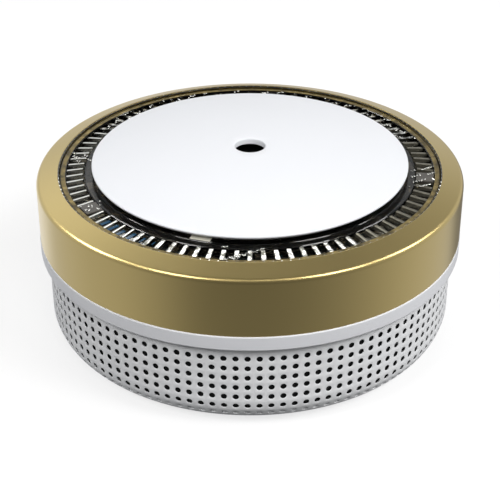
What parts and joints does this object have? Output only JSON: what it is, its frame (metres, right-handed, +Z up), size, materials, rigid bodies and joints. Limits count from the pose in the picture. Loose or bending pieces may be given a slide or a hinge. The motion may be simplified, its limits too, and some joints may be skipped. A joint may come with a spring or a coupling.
{
  "type": "air quality monitor",
  "caption": "Round puck-shaped air quality monitor with a domed push plate, a ribbed smoked light ring, a gilt trim ring, a perforated lower basket and a twist-off base.",
  "frame": {"origin": "middle of the footprint, on the surface that the rubber feet stand on", "axes": "+Z up along the round body's own axis; -Y is the front and +Y is the side with the supply socket; +X is to the right seen from the front"},
  "size_m": [0.1002, 0.1002, 0.046],
  "materials": {
    "gold_trim": "satin champagne gold lacquer, fine metallic grain",
    "white_frame": "fine satin moulded plastic",
    "white_grille": "matte fine texture",
    "dark_mesh": "fine dark woven screen",
    "base_plastic": "matte moulded plastic",
    "rubber_feet": "matte",
    "smoked_lens": "glossy smoked clear acrylic",
    "white_disc": "smooth satin",
    "steel": "zinc plated",
    "black_plastic": "satin black",
    "board_blue": "dark blue solder mask",
    "led_body": "warm white with a pale yellow dome",
    "switch_plunger": "smooth",
    "brass": "plain",
    "board_green": "green solder mask",
    "battery_wrap": "silver foil pouch",
    "shield_metal": "stamped tin plate",
    "fan_plastic": "satin",
    "gilt_sensor": "gilt cell"
  },
  "bodies": {
    "housing": {"trim_ring": "gold_trim", "middle_frame": "white_frame", "frame_pillars": "white_frame", "grille_basket": "white_grille", "insect_mesh": "dark_mesh", "bayonet_ring": "white_frame", "lens_ring": "smoked_lens", "return_springs": "steel", "inner_deck": "black_plastic", "light_board": "board_blue", "status_leds": "led_body", "switch_case": "black_plastic", "sounder_case": "black_plastic", "piezo_disc": "brass", "main_board": "board_green", "battery_pack": "battery_wrap", "radio_module": "shield_metal", "board_header": "black_plastic", "particle_sensor_case": "black_plastic", "particle_sensor_lid": "shield_metal", "fan_shaft": "steel", "laser_diode": "brass", "carbon_dioxide_sensor": "gilt_sensor", "odour_sensor": "shield_metal", "humidity_sensor": "black_plastic", "usb_socket": "shield_metal", "usb_board": "board_green", "board_link": "black_plastic", "case_screws": "steel", "board_screws": "steel", "deck_screws": "steel"},
    "push_plate": {"top_disc": "white_disc", "disc_retaining_clips": "steel", "switch_plunger": "switch_plunger"},
    "fan": {"fan_rotor": "fan_plastic"},
    "base": {"mounting_plate": "base_plastic", "rubber_feet": "rubber_feet"}
  },
  "joints": [
    {"name": "plate_press", "type": "slide", "parent": "housing", "child": "push_plate", "axis": [0, 0, -1], "range_m": [0, 0.0006], "stiffness_N_per_m": 3000, "springref_m": -0.0004, "deforming": ["return_springs"]},
    {"name": "fan_spin", "type": "hinge", "parent": "housing", "child": "fan", "pos_m": [-0.021, 0, 0.021], "axis": [0, 0, 1], "continuous": true},
    {"name": "base_twist", "type": "hinge", "parent": "housing", "child": "base", "pos_m": [0, 0, 0.002], "axis": [0, 0, 1], "range_deg": [0, 30]}
  ]
}
